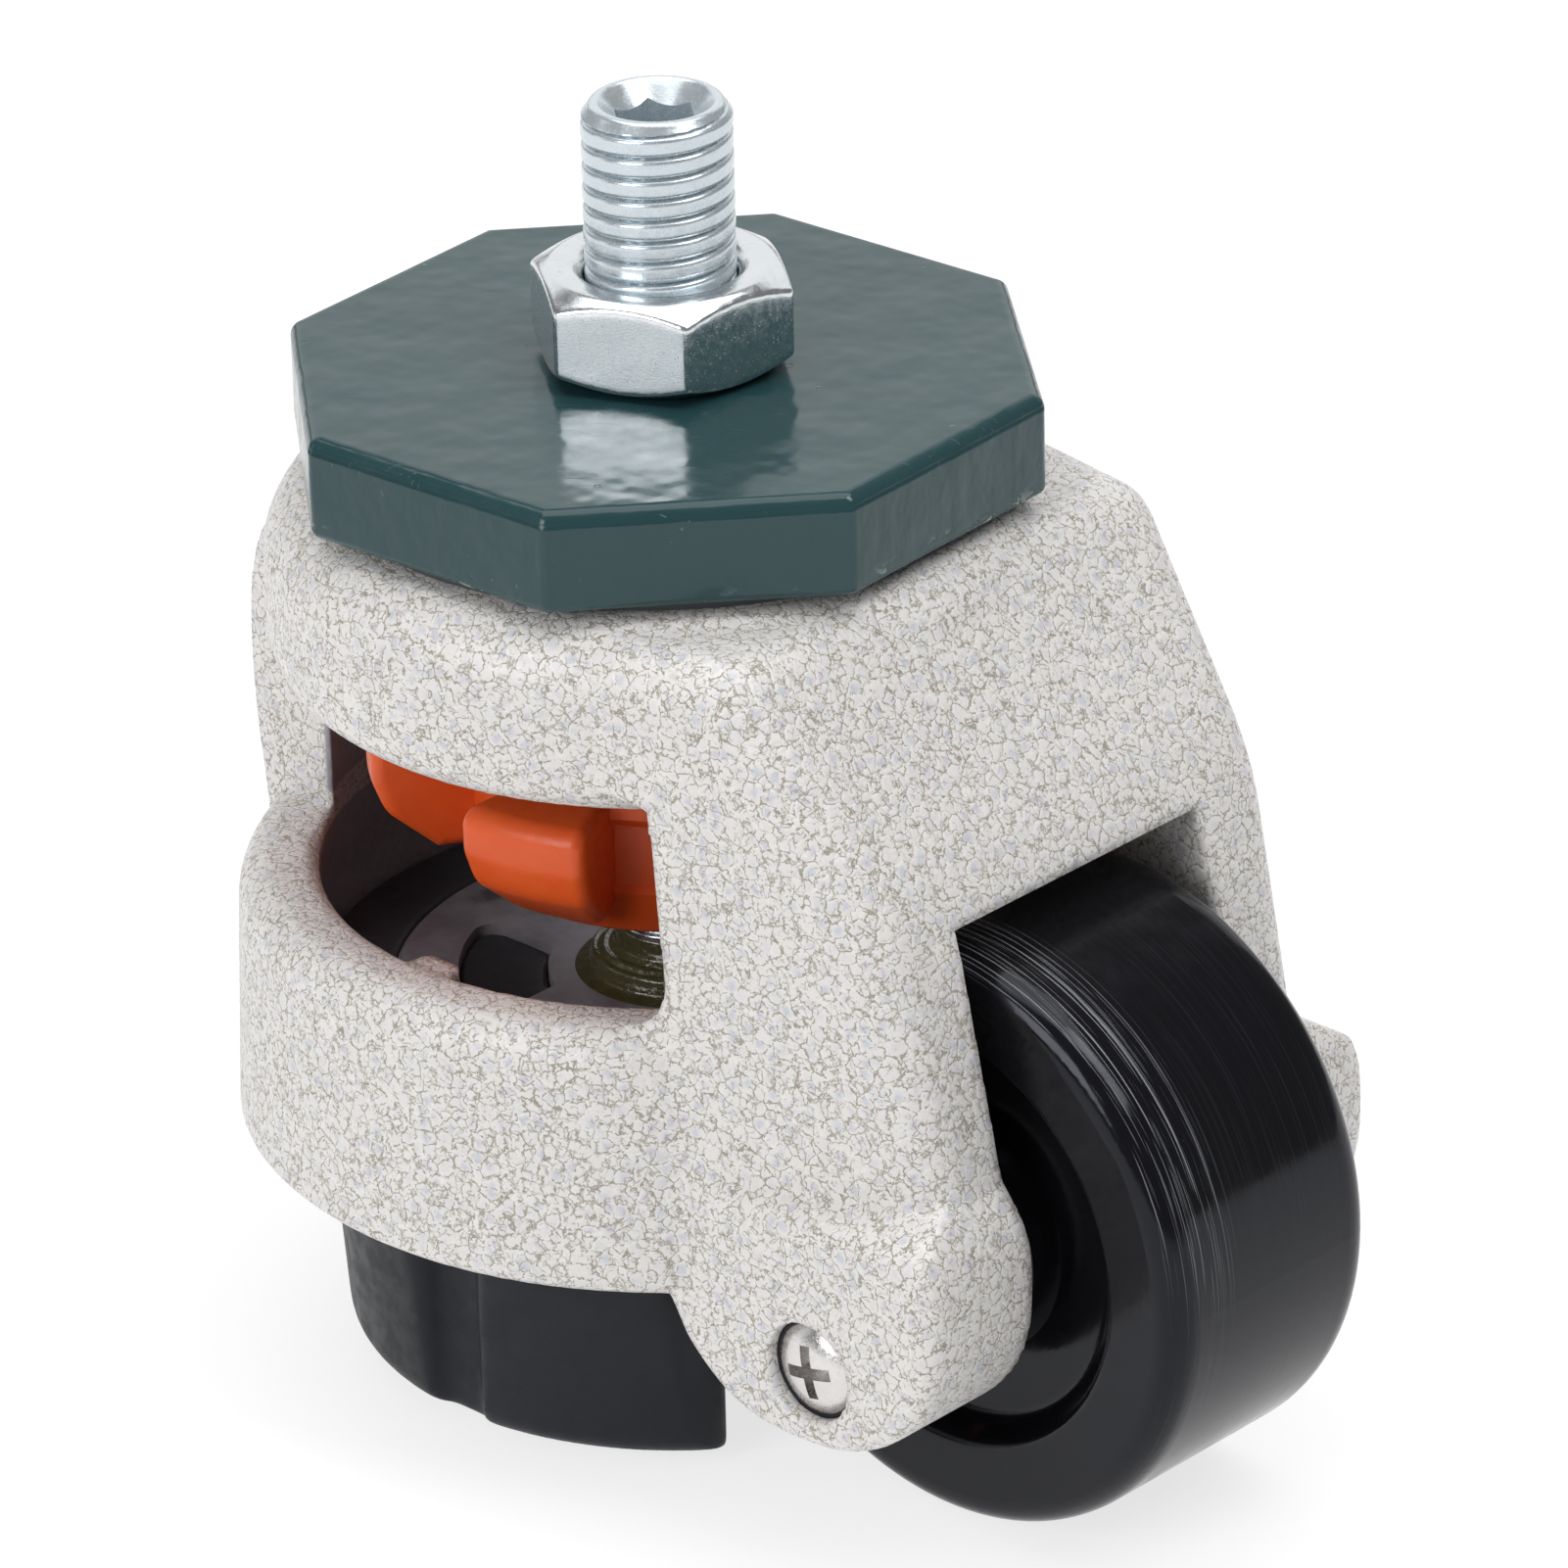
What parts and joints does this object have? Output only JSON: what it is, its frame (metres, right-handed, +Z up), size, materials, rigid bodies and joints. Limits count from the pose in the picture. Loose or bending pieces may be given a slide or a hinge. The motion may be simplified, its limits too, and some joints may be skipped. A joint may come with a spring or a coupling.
{
  "type": "levelling castor",
  "caption": "Levelling castor with a threaded stem, swivel plate, cast fork housing, single solid wheel and a screw-driven rubber foot turned by a hand wheel.",
  "frame": {"origin": "on the swivel axis, at the mounting (top) face of the swivel plate", "axes": "+Z up along the threaded stem, +X from the swivel axis towards the wheel, wheel axle parallel to Y"},
  "size_m": [0.0995, 0.0718, 0.1064],
  "materials": {
    "zinc": "bright zinc plated",
    "enamel": "gloss enamel",
    "hammer_paint": "hammered powder coat on cast aluminium",
    "race_steel": "ground",
    "cage_plastic": "natural",
    "seal_rubber": "matt",
    "bronze": "sintered, oiled",
    "orange_plastic": "satin moulded",
    "foot_metal": "dark grey, oiled",
    "foot_rubber": "moulded, satin",
    "nylon": "gloss moulded",
    "bush_plastic": "natural",
    "stainless": "bright"
  },
  "bodies": {
    "mount": {"stem": "zinc", "top_plate": "enamel", "upper_race": "race_steel", "swivel_washer": "race_steel"},
    "lock_nut": {"lock_nut": "zinc"},
    "housing": {"housing": "hammer_paint", "lower_race": "race_steel", "bearing_balls": "race_steel", "ball_cage": "cage_plastic", "dust_seal": "seal_rubber", "swivel_bush": "bronze", "carrier_disc": "zinc", "carrier_screws": "zinc", "thrust_washer": "bronze", "axle": "zinc", "spacer_left": "zinc", "spacer_right": "zinc", "keeper_screw_left": "stainless", "keeper_screw_right": "stainless"},
    "adjuster": {"adjusting_wheel": "orange_plastic", "spindle": "zinc", "spindle_clip": "race_steel"},
    "foot": {"foot_plate": "foot_metal", "foot_pad": "foot_rubber"},
    "wheel": {"wheel": "nylon", "bush_left": "bush_plastic", "bush_right": "bush_plastic"}
  },
  "joints": [
    {"name": "swivel", "type": "hinge", "parent": "mount", "child": "housing", "pos_m": [0, 0, -0.009], "axis": [0, 0, 1], "continuous": true},
    {"name": "wheel_spin", "type": "hinge", "parent": "housing", "child": "wheel", "pos_m": [0.038, 0, -0.0597], "axis": [0, 1, 0], "continuous": true},
    {"name": "adjuster_turn", "type": "hinge", "parent": "housing", "child": "adjuster", "pos_m": [0, 0, -0.035], "axis": [0, 0, 1], "range_deg": [0, 2880]},
    {"name": "foot_lift", "type": "slide", "parent": "housing", "child": "foot", "axis": [0, 0, -1], "range_m": [0, 0.012]},
    {"name": "lock_nut_travel", "type": "slide", "parent": "mount", "child": "lock_nut", "axis": [0, 0, 1], "range_m": [0, 0.012]}
  ],
  "couplings": [
    {"joint": "adjuster_turn", "follows": "foot_lift", "rad_per_m": 4188.8}
  ]
}
